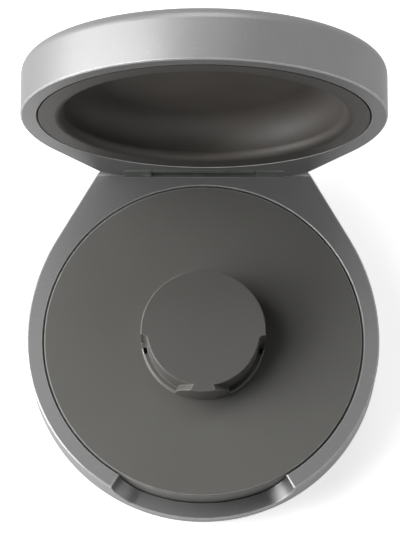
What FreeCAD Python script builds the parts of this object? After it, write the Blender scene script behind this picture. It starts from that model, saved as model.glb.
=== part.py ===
import FreeCAD, Part
import math
import os
import re

import Sketcher

# Round hinged palette case, in millimetres, with its lid open at rest.
# The origin is where the round case's centre line meets the table, +Y points at the hinge.
# Lid pieces are drawn shut, with their rim plane at zero height, and swung open by their Placement.

SIZES = {
    # Outline shared by the base and the lid: a round front, fuller flanks and a flat back.
    "case_radius": 50.0,
    "flank_extra": 8.6,
    "back_overhang": 2.6,
    "corner_radius": 7.5,
    "rim_width": 4.5,
    "edge_break": 0.3,
    "insert_gap": 0.3,
    # Base shell, with its thumb notch and the recess for the foot pad.
    "base_height": 15.4,
    "base_floor": 2.4,
    "base_edge_round": 2.5,
    "notch_angle": 62.0,
    "notch_depth": 9.0,
    "notch_end_round": 7.0,
    "pad_inset": 14.0,
    "pad_thickness": 1.2,
    "pad_proud": 0.4,
    "pad_gap": 0.15,
    # Lid shell, its moulded liner and the bond between them.
    "lid_height": 15.0,
    "lid_roof": 1.6,
    "lid_edge_round": 3.4,
    "lid_open_angle": 90.0,
    "seam": 0.2,
    "liner_wall": 1.1,
    "liner_ring": 4.4,
    "liner_lip": 2.4,
    "liner_straight": 0.5,
    "liner_skirt": 8.0,
    "bond_thickness": 0.2,
    "bond_inset": 2.0,
    # Water tray, foam, mixing plate and the gasket under the plate's edge.
    "tray_wall": 2.4,
    "tray_floor": 1.2,
    "rib_height": 2.0,
    "rib_thickness": 1.4,
    "rib_count": 8,
    "socket_wall": 1.6,
    "socket_height": 3.5,
    "foam_gap": 0.4,
    "foam_round": 1.0,
    "plate_thickness": 1.2,
    "gasket_width": 1.2,
    "gasket_depth": 0.6,
    "gasket_fit": 0.1,
    # Hub: a knob on the plate, with two finger grips and a water port in each grip's ledge.
    "hub_radius": 17.6,
    "hub_height": 10.6,
    "hub_top": 2.2,
    "hub_wall": 1.9,
    "hub_foot": 0.8,
    "foot_break": 0.45,
    "hub_edge_round": 0.35,
    "grip_depth": 1.7,
    "grip_start": 26.5,
    "grip_end": 86.0,
    "shoulder_lean": 4.5,
    "port_width": 1.1,
    "port_angle": 7.0,
    "port_margin": 4.6,
    "spigot_radius": 8.0,
    "spigot_wall": 2.4,
    "spigot_fit": 0.15,
    "spigot_end_gap": 0.4,
    "nut_radius": 13.0,
    "nut_height": 2.5,
    "nut_slot_width": 3.0,
    "nut_slot_depth": 1.5,
    "nut_slot_count": 4,
    "o_ring_radius": 0.6,
    "o_ring_squeeze": 0.05,
    # Closing magnets, set into the rims from the inside on each side of the notch.
    "magnet_radius": 1.5,
    "magnet_length": 2.8,
    "magnet_angle": 43.0,
    "magnet_inset": 2.6,
    "magnet_gap": 0.05,
    # Hinge: a leaf in each shell, knuckles on one pin, washers between the knuckles.
    "hinge_width": 45.6,
    "hinge_end_margin": 1.45,
    "barrel_radius": 1.9,
    "pin_radius": 0.8,
    "pin_fit": 0.02,
    "pin_end_gap": 0.1,
    "bore_fit": 0.05,
    "outer_knuckle": 7.6,
    "knuckle_gap": 0.4,
    "washer_play": 0.05,
    "washer_inset": 0.2,
    "slot_gap": 0.3,
    "relief_gap": 0.3,
    "leaf_nose": 0.6,
    "leaf_thickness": 2.0,
    "leaf_depth": 8.5,
    "leaf_shelf": 2.4,
    "leaf_drop": 0.8,
    "leaf_fit": 0.1,
    # Screws that hold the leaves, driven from inside the shells.
    "screw_spread": 9.0,
    "screw_radius": 0.9,
    "screw_head_radius": 1.6,
    "screw_head_height": 1.2,
    "screw_sink": 0.2,
    "screw_play": 0.1,
    "screw_end_land": 2.4,
}

# Places and sizes that follow from the ones above.
DERIVED = {
    "shell_bottom": "pad_proud",
    "parting": "pad_proud + base_height",
    "flank_radius": "case_radius + flank_extra",
    "back_reach": "case_radius + back_overhang",
    "back_flat": "hinge_width + 2 * hinge_end_margin",
    "cavity_radius": "case_radius - rim_width",
    "insert_radius": "cavity_radius - insert_gap",
    "pad_radius": "case_radius - pad_inset",
    "lid_cavity": "lid_height - lid_roof",
    "liner_depth": "lid_cavity - bond_thickness - liner_wall",
    "liner_cove": "liner_depth - liner_lip - liner_straight",
    "liner_bend": "insert_radius - liner_ring",
    "liner_throat": "liner_bend - liner_lip",
    "liner_flat": "liner_throat - liner_cove",
    "tray_bottom": "shell_bottom + base_floor",
    "tray_inside": "tray_bottom + tray_floor",
    "tray_top": "parting - plate_thickness",
    "tray_bore": "insert_radius - tray_wall",
    "rib_top": "tray_inside + rib_height",
    "socket_bore": "spigot_radius + spigot_fit",
    "socket_outside": "socket_bore + socket_wall",
    "foam_bore": "nut_radius + foam_gap",
    "foam_outside": "tray_bore - foam_gap",
    "gasket_mid": "insert_radius - tray_wall / 2",
    "hub_crown": "parting + hub_height",
    "grip_radius": "hub_radius - grip_depth",
    "grip_floor": "parting + hub_foot",
    "grip_reach": "hub_radius + grip_depth",
    "grip_rear": "grip_end - grip_depth / hub_radius * 180 / pi",
    "shoulder_rise": "hub_crown - grip_floor",
    "shoulder_arc": "(shoulder_lean ^ 2 + shoulder_rise ^ 2) / (2 * shoulder_lean)",
    "hub_bore": "grip_radius - hub_wall",
    "port_middle": "grip_end - port_margin - port_angle / 2",
    "port_radius": "(grip_radius + hub_radius) / 2",
    "o_ring_mid": "spigot_radius + spigot_fit + o_ring_radius",
    "magnet_start": "cavity_radius + magnet_gap",
    "hinge_y": "back_reach - barrel_radius",
    "hinge_z": "parting + seam + barrel_radius",
    "hinge_half": "hinge_width / 2",
    "knuckle_end": "hinge_half - leaf_fit",
    "knuckle_start": "knuckle_end - outer_knuckle",
    "lid_knuckle_half": "knuckle_start - knuckle_gap",
    "relief_radius": "barrel_radius * sqrt(2) + relief_gap",
    "leaf_front": "hinge_y - barrel_radius - leaf_nose",
    "leaf_back": "leaf_front + leaf_thickness",
    "leaf_foot": "parting - leaf_depth",
    "lid_leaf_front": "hinge_y - barrel_radius",
    "lid_leaf_back": "lid_leaf_front + leaf_thickness",
    "slot_top": "2 * barrel_radius + slot_gap",
    "lid_leaf_shelf": "slot_top + leaf_shelf",
    "lid_leaf_top": "2 * barrel_radius + leaf_depth",
    "screw_wall": "sqrt(cavity_radius ^ 2 - (screw_spread - screw_head_radius) ^ 2)",
    "screw_seat": "screw_wall + screw_sink + screw_head_height",
    "base_screw_z": "leaf_foot + screw_end_land",
    "lid_screw_z": "lid_leaf_top - screw_end_land",
}

doc = FreeCAD.newDocument("palette")
sheet = doc.addObject("Spreadsheet::Sheet", "sizes")
for row, (alias, number) in enumerate(SIZES.items(), 1):
    sheet.set(f"A{row}", alias)
    sheet.set(f"B{row}", str(number))
    sheet.setAlias(f"B{row}", alias)
doc.recompute()

SIDES = {"left": -1, "right": 1}
NODES = []
NEAR = 1e-3  # how far an edge may lie from the place that selects it


def formula(text):
    """Spell a formula out in the sheet's own cells."""
    def spell(match):
        name = match.group(0)
        if name in DERIVED:
            return "(" + formula(DERIVED[name]) + ")"
        if name in SIZES:
            return "sizes." + name
        return name
    return re.sub(r"[a-z_]+", spell, str(text))


def value(text):
    """The number that a formula has now."""
    return float(sheet.evalExpression(formula(text)))


def bind(thing, prop, text):
    thing.setExpression(prop, formula(text))


def keep(thing, name):
    """List a finished piece under the name that its file takes."""
    thing.Label = name
    NODES.append(thing)


# Sketching

def new_body(name):
    return doc.addObject("PartDesign::Body", name + "_body")


def new_sketch(body, name, role, lift=None, azimuth=None, side=1):
    """Sketch on an origin plane, lifted along its normal or turned about the upright axis."""
    plane = next(item for item in body.Origin.OriginFeatures if item.Role == role)
    sketch = body.newObject("Sketcher::SketchObject", name)
    sketch.AttachmentSupport = (plane, [""])
    sketch.MapMode = "FlatFace"
    if azimuth is not None:
        upright = FreeCAD.Rotation(FreeCAD.Vector(0, side, 0), value(azimuth))
        sketch.AttachmentOffset = FreeCAD.Placement(FreeCAD.Vector(), upright)
        bind(sketch, "AttachmentOffset.Rotation.Angle", azimuth)
    if lift is not None:
        bind(sketch, "AttachmentOffset.Base.z", lift)
    return sketch


def dimension(sketch, text, *constraint):
    """Add a dimension whose value is a formula."""
    kind, *places = constraint
    index = sketch.addConstraint(Sketcher.Constraint(kind, *places, value(text)))
    bind(sketch, f"Constraints[{index}]", text)


def pin_point(sketch, geometry, end, x, y):
    dimension(sketch, x, "DistanceX", -1, 1, geometry, end)
    dimension(sketch, y, "DistanceY", -1, 1, geometry, end)


def circle(sketch, radius, x="0", y="0"):
    middle = FreeCAD.Vector(value(x), value(y), 0)
    ring = sketch.addGeometry(Part.Circle(middle, FreeCAD.Vector(0, 0, 1), value(radius)))
    pin_point(sketch, ring, 3, x, y)
    dimension(sketch, radius, "Radius", ring)


def arc_between(start, end, radius, turn):
    """Minor arc from start to end, turning left for +1 and right for -1."""
    chord = end - start
    rise = math.sqrt(max(radius ** 2 - (chord.Length / 2) ** 2, 0.0))
    left = FreeCAD.Vector(-chord.y, chord.x, 0).normalize()
    middle = (start + end) * 0.5 + left * (turn * rise)
    angles = [math.atan2(spot.y - middle.y, spot.x - middle.x) for spot in (start, end)]
    first, last = angles if turn > 0 else angles[::-1]
    return Part.ArcOfCircle(Part.Circle(middle, FreeCAD.Vector(0, 0, 1), radius), first, last)


def trace(sketch, corners):
    """Closed profile through corners (x, y) or (x, y, radius, turn) where an arc leads to the next."""
    spots = [FreeCAD.Vector(value(corner[0]), value(corner[1]), 0) for corner in corners]
    ends = []
    for index, corner in enumerate(corners):
        start, end = spots[index], spots[(index + 1) % len(spots)]
        if len(corner) == 2:
            run = sketch.addGeometry(Part.LineSegment(start, end))
            ends.append((run, 1, 2))
            continue
        radius, turn = corner[2], corner[3]
        run = sketch.addGeometry(arc_between(start, end, value(radius), turn))
        ends.append((run, 1, 2) if turn > 0 else (run, 2, 1))
        dimension(sketch, radius, "Radius", run)
    for index, corner in enumerate(corners):
        run, first, _ = ends[index]
        before, _, last = ends[index - 1]
        sketch.addConstraint(Sketcher.Constraint("Coincident", before, last, run, first))
        pin_point(sketch, run, first, corner[0], corner[1])


def rectangle(sketch, x_low, x_high, y_low, y_high):
    trace(sketch, [(x_low, y_low), (x_high, y_low), (x_high, y_high), (x_low, y_high)])


def case_outline(sketch):
    """The plan of both shells, kept smooth by tangent joints."""
    radius, flank, corner = (value(name) for name in ("case_radius", "flank_radius", "corner_radius"))
    corner_middle = FreeCAD.Vector(value("back_flat / 2"), value("back_reach") - corner, 0)
    flank_middle = FreeCAD.Vector(radius - flank, 0, 0)
    span = corner_middle - flank_middle
    slope = math.atan2(span.y, span.x) - math.acos((flank - corner) / span.Length)
    outward = FreeCAD.Vector(math.cos(slope), math.sin(slope), 0)
    flank_end = flank_middle + outward * flank
    corner_start = corner_middle + outward * corner
    back_end = corner_middle + FreeCAD.Vector(0, corner, 0)

    def mirrored(spot):
        return FreeCAD.Vector(-spot.x, spot.y, 0)

    def arc(middle, size, first, last):
        return Part.ArcOfCircle(Part.Circle(middle, FreeCAD.Vector(0, 0, 1), size), first, last)

    front, right_flank, _, right_corner, back, left_corner, _, left_flank = sketch.addGeometry([
        arc(FreeCAD.Vector(), radius, math.pi, 2 * math.pi),
        arc(flank_middle, flank, 0, slope),
        Part.LineSegment(flank_end, corner_start),
        arc(corner_middle, corner, slope, math.pi / 2),
        Part.LineSegment(back_end, mirrored(back_end)),
        arc(mirrored(corner_middle), corner, math.pi / 2, math.pi - slope),
        Part.LineSegment(mirrored(corner_start), mirrored(flank_end)),
        arc(mirrored(flank_middle), flank, math.pi - slope, math.pi),
    ])
    runs = left_flank + 1
    for run in range(runs):
        sketch.addConstraint(Sketcher.Constraint("Tangent", run, 2, (run + 1) % runs, 1))
    sketch.addConstraint([
        Sketcher.Constraint("Coincident", front, 3, -1, 1),
        Sketcher.Constraint("PointOnObject", right_flank, 3, -1),
        Sketcher.Constraint("PointOnObject", left_flank, 3, -1),
        Sketcher.Constraint("Equal", right_flank, left_flank),
        Sketcher.Constraint("Equal", right_corner, left_corner),
        Sketcher.Constraint("Symmetric", back, 1, back, 2, -2),
    ])
    dimension(sketch, "case_radius", "Radius", front)
    dimension(sketch, "flank_radius", "Radius", right_flank)
    dimension(sketch, "corner_radius", "Radius", right_corner)
    dimension(sketch, "back_reach", "DistanceY", -1, 1, back, 1)
    dimension(sketch, "back_flat", "DistanceX", back, 2, back, 1)


# Features

def pad(body, sketch, length, midplane=False, reverse=False):
    feature = body.newObject("PartDesign::Pad", sketch.Name + "_pad")
    feature.Profile = sketch
    feature.Midplane = midplane
    feature.Reversed = reverse
    bind(feature, "Length", length)
    doc.recompute()
    return feature


def cut_checked(body, feature, before):
    """Recompute a cut and make sure that it took material away."""
    doc.recompute()
    if body.Shape.Volume >= before:
        raise RuntimeError(feature.Name + " cuts nothing")
    return feature


def pocket(body, sketch, length, midplane=False, reverse=False):
    before = body.Shape.Volume
    feature = body.newObject("PartDesign::Pocket", sketch.Name + "_pocket")
    feature.Profile = sketch
    feature.Midplane = midplane
    feature.Reversed = reverse
    bind(feature, "Length", length)
    return cut_checked(body, feature, before)


def revolve(body, sketch, sweep="360", axis="V_Axis", midplane=True, reverse=False):
    feature = body.newObject("PartDesign::Revolution", sketch.Name + "_turned")
    feature.Profile = sketch
    feature.ReferenceAxis = (sketch, [axis])
    feature.Midplane = midplane
    feature.Reversed = reverse
    bind(feature, "Angle", sweep)
    doc.recompute()
    return feature


def sector_cut(body, name, radii, heights, sweep, azimuth="0", side=1):
    """Cut a ring sector, centred on an azimuth measured from the front."""
    before = body.Shape.Volume
    sketch = new_sketch(body, name, "YZ_Plane", azimuth=azimuth, side=side)
    inner, outer = radii
    rectangle(sketch, f"-({outer})", f"-({inner})", *heights)
    feature = body.newObject("PartDesign::Groove", name + "_groove")
    feature.Profile = sketch
    feature.ReferenceAxis = (sketch, ["V_Axis"])
    feature.Midplane = True
    bind(feature, "Angle", sweep)
    return cut_checked(body, feature, before)


def edges_where(shape, test):
    return [f"Edge{index}" for index, edge in enumerate(shape.Edges, 1) if test(edge)]


def at_height(edge, text):
    height = value(text)
    return abs(edge.BoundBox.ZMin - height) < NEAR and abs(edge.BoundBox.ZMax - height) < NEAR


def on_cylinder(edge, text):
    radius = value(text)
    first, last = edge.ParameterRange
    spots = [edge.valueAt(place) for place in (first, (first + last) / 2, last)]
    return all(abs(math.hypot(spot.x, spot.y) - radius) < NEAR for spot in spots)


def is_straight(edge):
    return isinstance(edge.Curve, (Part.Line, Part.LineSegment))


def dress(body, kind, base, edges, size):
    """Round or chamfer the named edges of a feature."""
    if not edges:
        raise RuntimeError(f"no edges to dress on {base.Name}")
    feature = body.newObject("PartDesign::" + kind, f"{base.Name}_{kind.lower()}")
    feature.Base = (base, edges)
    bind(feature, "Radius" if kind == "Fillet" else "Size", size)
    doc.recompute()
    return feature


# Places

def swing_lid(thing):
    """Swing a piece that is drawn shut about the hinge line to the lid's open angle."""
    thing.Placement = FreeCAD.Placement(
        FreeCAD.Vector(), FreeCAD.Rotation(FreeCAD.Vector(-1, 0, 0), value("lid_open_angle")))
    bind(thing, "Placement.Rotation.Angle", "lid_open_angle")
    bind(thing, "Placement.Base.y",
         "hinge_y - hinge_y * cos(lid_open_angle) - barrel_radius * sin(lid_open_angle)")
    bind(thing, "Placement.Base.z",
         "hinge_z + hinge_y * sin(lid_open_angle) - barrel_radius * cos(lid_open_angle)")


def radial_cylinder(name, radius, length, start, azimuth, side, height):
    """Cylinder whose axis points outward, at an azimuth measured from the front."""
    rod = doc.addObject("Part::Cylinder", name)
    bind(rod, "Radius", radius)
    bind(rod, "Height", length)
    rod.Placement = FreeCAD.Placement(
        FreeCAD.Vector(), FreeCAD.Rotation(FreeCAD.Vector(1, side, 0), 90))
    bind(rod, "Placement.Rotation.Axis.x", f"cos({azimuth})")
    bind(rod, "Placement.Rotation.Axis.y", f"{side} * sin({azimuth})")
    bind(rod, "Placement.Base.x", f"{side} * ({start}) * sin({azimuth})")
    bind(rod, "Placement.Base.y", f"-({start}) * cos({azimuth})")
    bind(rod, "Placement.Base.z", height)
    return rod


def magnet_pair(name, height):
    """The two magnets of one shell."""
    pair = doc.addObject("Part::Compound", name)
    pair.Links = [
        radial_cylinder(f"{name}_{hand}", "magnet_radius", "magnet_length", "magnet_start",
                        "magnet_angle", side, height)
        for hand, side in SIDES.items()]
    return pair


def magnet_pockets(body, name, height):
    """Open the magnets' pockets into the shell's cavity."""
    for hand, side in SIDES.items():
        before = body.Shape.Volume
        sketch = new_sketch(body, f"{name}_{hand}", "XZ_Plane", azimuth="magnet_angle", side=side)
        circle(sketch, "magnet_radius + magnet_gap", "0", height)
        feature = body.newObject("PartDesign::Pocket", sketch.Name + "_pocket")
        feature.Profile = sketch
        feature.Reversed = True
        bind(feature, "Length", "magnet_start + magnet_length + magnet_gap")
        cut_checked(body, feature, before)


def screw_holes(body, name, height):
    """Counterbored clearance holes from the cavity into the leaf's slot."""
    seat = new_sketch(body, name + "_seat", "XZ_Plane")
    shank = new_sketch(body, name + "_shank", "XZ_Plane")
    for side in SIDES.values():
        circle(seat, "screw_head_radius + screw_play", f"{side} * screw_spread", height)
        circle(shank, "screw_radius + screw_play", f"{side} * screw_spread", height)
    pocket(body, seat, "screw_seat")
    pocket(body, shank, "lid_leaf_front")


def leaf_holes(body, name, height):
    """Tapped holes in a leaf for its two screws."""
    sketch = new_sketch(body, name, "XZ_Plane")
    for side in SIDES.values():
        circle(sketch, "screw_radius + screw_play", f"{side} * screw_spread", height)
    pocket(body, sketch, "back_reach")


def screw_pair(name, height, tip):
    """Pan-head screws along Y, heads towards the cavity."""
    body = new_body(name)
    shanks = new_sketch(body, name + "_shank", "XZ_Plane", lift="-screw_seat")
    heads = new_sketch(body, name + "_head", "XZ_Plane", lift="-screw_seat")
    for side in SIDES.values():
        circle(shanks, "screw_radius", f"{side} * screw_spread", height)
        circle(heads, "screw_head_radius", f"{side} * screw_spread", height)
    body.AllowCompound = True
    pad(body, heads, "screw_head_height")
    pad(body, shanks, f"{tip} - screw_seat", reverse=True)
    return body


def ring_sketch(body, name, inner, outer, lift):
    sketch = new_sketch(body, name, "XY_Plane", lift=lift)
    circle(sketch, outer)
    circle(sketch, inner)
    return sketch


# Base shell: a milled cup with a flat back, a thumb notch in front and a recess for the foot pad.
base = new_body("base_shell")
plan = new_sketch(base, "base_plan", "XY_Plane", lift="shell_bottom")
case_outline(plan)
block = pad(base, plan, "base_height")
bottom_edges = edges_where(block.Shape, lambda edge: at_height(edge, "shell_bottom"))
dress(base, "Fillet", block, bottom_edges, "base_edge_round")

cavity = new_sketch(base, "base_cavity", "XY_Plane", lift="parting")
circle(cavity, "cavity_radius")
pocket(base, cavity, "base_height - base_floor")

pad_recess = new_sketch(base, "pad_recess", "XY_Plane", lift="shell_bottom")
circle(pad_recess, "pad_radius + pad_gap")
pocket(base, pad_recess, "pad_thickness - pad_proud", reverse=True)

notch = sector_cut(
    base, "notch", ("cavity_radius - rim_width", "case_radius + rim_width"),
    ("parting - notch_depth", "parting + notch_depth"), "notch_angle")
notch_ends = edges_where(
    notch.Shape, lambda edge: at_height(edge, "parting - notch_depth") and is_straight(edge))
notch_floor = dress(base, "Fillet", notch, notch_ends, "notch_end_round")


def on_rim(edge):
    """Edges of the rim's top face, and the notch's edge on the outside of the shell."""
    if at_height(edge, "parting"):
        return True
    low = value("parting - notch_depth") - NEAR
    return on_cylinder(edge, "case_radius") and edge.BoundBox.ZMin > low and edge.CenterOfMass.y < 0


dress(base, "Chamfer", notch_floor, edges_where(notch_floor.Shape, on_rim), "edge_break")

relief = new_sketch(base, "hinge_relief", "YZ_Plane")
circle(relief, "relief_radius", "hinge_y", "hinge_z")
pocket(base, relief, "2 * case_radius", midplane=True)

leaf_seat = new_sketch(base, "leaf_seat", "XY_Plane", lift="parting")
rectangle(leaf_seat, "-hinge_half", "hinge_half", "leaf_front - leaf_fit", "back_reach + rim_width")
pocket(base, leaf_seat, "leaf_shelf + leaf_fit")

leaf_slot = new_sketch(base, "leaf_slot", "XY_Plane", lift="parting")
rectangle(leaf_slot, "-hinge_half", "hinge_half", "leaf_front - leaf_fit", "leaf_back + leaf_fit")
pocket(base, leaf_slot, "leaf_depth + leaf_fit")

screw_holes(base, "base_screw_hole", "base_screw_z")
magnet_pockets(base, "base_magnet_pocket", "parting - magnet_inset")
keep(base, "base_shell")

# Foot pad: a soft disc glued into the recess, standing a little proud.
foot = new_body("foot_pad")
foot_plan = new_sketch(foot, "foot_plan", "XY_Plane")
circle(foot_plan, "pad_radius")
pad(foot, foot_plan, "pad_thickness")
keep(foot, "foot_pad")

# Water tray: a moulded cup with a socket for the hub's spigot and ribs that lift the foam.
tray = new_body("water_tray")
tray_profile = new_sketch(tray, "tray_profile", "XZ_Plane")
trace(tray_profile, [
    ("0", "tray_bottom"),
    ("insert_radius", "tray_bottom"),
    ("insert_radius", "tray_top"),
    ("gasket_mid + gasket_width / 2", "tray_top"),
    ("gasket_mid + gasket_width / 2", "tray_top - gasket_depth"),
    ("gasket_mid - gasket_width / 2", "tray_top - gasket_depth"),
    ("gasket_mid - gasket_width / 2", "tray_top"),
    ("tray_bore", "tray_top"),
    ("tray_bore", "tray_inside"),
    ("socket_outside", "tray_inside"),
    ("socket_outside", "tray_inside + socket_height"),
    ("socket_bore", "tray_inside + socket_height"),
    ("socket_bore", "tray_inside"),
    ("0", "tray_inside"),
])
revolve(tray, tray_profile)
rib_plan = new_sketch(tray, "rib_plan", "XY_Plane", lift="tray_inside")
rectangle(rib_plan, "socket_outside - socket_wall / 2", "tray_bore + tray_wall / 2",
          "-rib_thickness / 2", "rib_thickness / 2")
rib = pad(tray, rib_plan, "rib_height")
ribs = tray.newObject("PartDesign::PolarPattern", "ribs")
ribs.Originals = [rib]
ribs.Axis = (rib_plan, ["N_Axis"])
ribs.Angle = 360.0
bind(ribs, "Occurrences", "rib_count")
tray.Tip = ribs
doc.recompute()
keep(tray, "water_tray")

# Foam: a hydrophilic ring that stands on the ribs and wets the plate from below.
foam = new_body("hydration_sponge")
foam_plan = ring_sketch(foam, "foam_plan", "foam_bore", "foam_outside", "rib_top")
foam_ring = pad(foam, foam_plan, "tray_top - rib_top")
dress(foam, "Fillet", foam_ring, edges_where(foam_ring.Shape, lambda edge: not is_straight(edge)),
      "foam_round")
keep(foam, "hydration_sponge")

# Gasket: a flat ring in the tray's rim that the mixing plate sits on.
gasket = new_body("plate_gasket")
gasket_plan = ring_sketch(gasket, "gasket_plan", "gasket_mid - gasket_width / 2 + gasket_fit",
                          "gasket_mid + gasket_width / 2 - gasket_fit", "tray_top - gasket_depth")
pad(gasket, gasket_plan, "gasket_depth")
keep(gasket, "plate_gasket")

# Mixing plate: a thin disc flush with the rim, with a hole for the spigot and two water ports.
plate = new_body("palette_plate")
plate_plan = ring_sketch(plate, "plate_plan", "spigot_radius + spigot_fit", "insert_radius", "tray_top")
disc = pad(plate, plate_plan, "plate_thickness")
plate_edge = edges_where(
    disc.Shape, lambda edge: at_height(edge, "parting") and on_cylinder(edge, "insert_radius"))
dress(plate, "Chamfer", disc, plate_edge, "edge_break")


def cut_ports(body, name, low, high):
    """Open the two water ports, one near the rear end of each grip."""
    for hand, side in SIDES.items():
        sector_cut(
            body, f"{name}_{hand}",
            ("port_radius - port_width / 2", "port_radius + port_width / 2"), (low, high),
            "port_angle", azimuth="port_middle", side=side)


cut_ports(plate, "plate_port", "tray_top - plate_thickness", "parting + plate_thickness")
keep(plate, "palette_plate")

# Hub: a hollow moulded knob with a tubular spigot, cut back on both front sides for two fingers.
hub = new_body("hub")
hub_profile = new_sketch(hub, "hub_profile", "XZ_Plane")
trace(hub_profile, [
    ("spigot_radius - spigot_wall", "tray_inside + spigot_end_gap"),
    ("spigot_radius", "tray_inside + spigot_end_gap"),
    ("spigot_radius", "hub_crown - hub_top"),
    ("hub_bore", "hub_crown - hub_top"),
    ("hub_bore", "parting"),
    ("hub_radius", "parting"),
    ("hub_radius", "hub_crown - hub_edge_round", "hub_edge_round", 1),
    ("hub_radius - hub_edge_round", "hub_crown"),
    ("0", "hub_crown"),
    ("0", "hub_crown - hub_top"),
    ("spigot_radius - spigot_wall", "hub_crown - hub_top"),
])
revolve(hub, hub_profile)


GRIP_WALL = [
    ("-grip_radius", "grip_floor"),
    ("-grip_radius", "hub_crown - hub_edge_round", "hub_edge_round", -1),
    ("-(grip_radius - hub_edge_round)", "hub_crown"),
    ("-(grip_radius - hub_edge_round)", "hub_crown + hub_foot"),
]


def grip_cutter(hand, side):
    """What one grip takes away: a ring sector with a round rear end and a front end that leans forward."""
    cutter = new_body(f"grip_{hand}")
    section = new_sketch(cutter, f"grip_section_{hand}", "YZ_Plane", azimuth="grip_rear / 2", side=side)
    trace(section, [
        ("-grip_reach", "grip_floor - foot_break - grip_depth"),
        ("-(hub_radius - foot_break)", "grip_floor"),
        *GRIP_WALL,
        ("-grip_reach", "hub_crown + hub_foot"),
    ])
    revolve(cutter, section, "grip_rear")
    rear = new_sketch(cutter, f"grip_rear_{hand}", "YZ_Plane", azimuth="grip_rear", side=side)
    trace(rear, [("-hub_radius", "grip_floor"), *GRIP_WALL, ("-hub_radius", "hub_crown + hub_foot")])
    spindle = rear.addGeometry(Part.LineSegment(
        FreeCAD.Vector(value("-hub_radius"), value("grip_floor"), 0),
        FreeCAD.Vector(value("-hub_radius"), value("hub_crown"), 0)), True)
    pin_point(rear, spindle, 1, "-hub_radius", "grip_floor")
    pin_point(rear, spindle, 2, "-hub_radius", "hub_crown")
    revolve(cutter, rear, "180", axis="Axis0", midplane=False, reverse=side > 0)
    shoulder = new_sketch(cutter, f"shoulder_{hand}", "XZ_Plane", azimuth="grip_start", side=side)
    trace(shoulder, [
        ("0", "grip_floor", "shoulder_arc", side),
        (f"{-side} * shoulder_lean", "hub_crown"),
        (f"{-side} * shoulder_lean", "hub_crown + 2 * hub_foot"),
        (f"{-side} * hub_radius", "hub_crown + 2 * hub_foot"),
        (f"{-side} * hub_radius", "grip_floor - hub_foot"),
        ("0", "grip_floor - hub_foot"),
    ])
    pocket(cutter, shoulder, "hub_radius + 2 * grip_depth", reverse=True)
    return cutter


uncut = hub.Shape.Volume
grips = hub.newObject("PartDesign::Boolean", "grips")
grips.Type = "Cut"
grips.setObjects([grip_cutter(hand, side) for hand, side in SIDES.items()])
cut_checked(hub, grips, uncut)
cut_ports(hub, "hub_port", "parting - hub_foot", "grip_floor + hub_foot")
keep(hub, "hub")

# O-ring round the spigot, held in the hub's hollow against the plate.
o_ring = doc.addObject("Part::Torus", "o_ring")
bind(o_ring, "Radius1", "o_ring_mid")
bind(o_ring, "Radius2", "o_ring_radius - o_ring_squeeze")
bind(o_ring, "Placement.Base.z", "parting + o_ring_radius")
keep(o_ring, "hub_o_ring")

# Ring nut that clamps the hub to the plate, slotted for a spanner.
nut = new_body("hub_nut")
nut_plan = ring_sketch(nut, "nut_plan", "spigot_radius + spigot_fit", "nut_radius", "tray_top - nut_height")
pad(nut, nut_plan, "nut_height")
slot_plan = new_sketch(nut, "nut_slot", "XY_Plane", lift="tray_top - nut_height")
rectangle(slot_plan, "nut_radius - nut_slot_depth", "nut_radius + nut_slot_depth",
          "-nut_slot_width / 2", "nut_slot_width / 2")
nut_slot = pocket(nut, slot_plan, "nut_height", reverse=True)
nut_slots = nut.newObject("PartDesign::PolarPattern", "nut_slots")
nut_slots.Originals = [nut_slot]
nut_slots.Axis = (slot_plan, ["N_Axis"])
nut_slots.Angle = 360.0
bind(nut_slots, "Occurrences", "nut_slot_count")
nut.Tip = nut_slots
doc.recompute()
keep(nut, "hub_nut")

keep(magnet_pair("base_magnets", "parting - magnet_inset"), "base_magnets")

# Base leaf of the hinge: a tongue in the base's back wall, a shelf, and the two outer knuckles.
base_leaf = new_body("hinge_base_leaf")
tongue = new_sketch(base_leaf, "base_tongue", "YZ_Plane")
trace(tongue, [
    ("leaf_front", "leaf_foot"),
    ("leaf_back", "leaf_foot"),
    ("leaf_back", "parting - leaf_shelf"),
    ("back_reach", "parting - leaf_shelf"),
    ("back_reach", "parting - leaf_drop"),
    ("leaf_front", "parting - leaf_drop"),
])
pad(base_leaf, tongue, "2 * knuckle_end", midplane=True)
for hand, side in SIDES.items():
    knuckle = new_sketch(base_leaf, f"knuckle_{hand}", "YZ_Plane", lift=f"{side} * knuckle_start")
    trace(knuckle, [
        ("leaf_front", "parting - leaf_shelf"),
        ("back_reach", "parting - leaf_shelf"),
        ("back_reach", "hinge_z", "barrel_radius", 1),
        ("hinge_y", "hinge_z + barrel_radius", "barrel_radius", 1),
        ("hinge_y - barrel_radius", "hinge_z"),
        ("hinge_y - barrel_radius", "parting"),
        ("leaf_front", "parting"),
    ])
    pad(base_leaf, knuckle, "outer_knuckle", reverse=side < 0)
base_bore = new_sketch(base_leaf, "base_pin_bore", "YZ_Plane")
circle(base_bore, "pin_radius + pin_fit", "hinge_y", "hinge_z")
pocket(base_leaf, base_bore, "2 * hinge_width", midplane=True)
leaf_holes(base_leaf, "base_leaf_hole", "base_screw_z")
keep(base_leaf, "hinge_base_leaf")

keep(screw_pair("hinge_base_screws", "base_screw_z", "leaf_back"), "hinge_base_screws")

# Hinge pin, held in the outer knuckles, and a washer at each end of the middle knuckle.
pin = new_body("hinge_pin")
pin_section = new_sketch(pin, "pin_section", "YZ_Plane")
circle(pin_section, "pin_radius", "hinge_y", "hinge_z")
pad(pin, pin_section, "2 * (knuckle_end - pin_end_gap)", midplane=True)
keep(pin, "hinge_pin")

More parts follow.
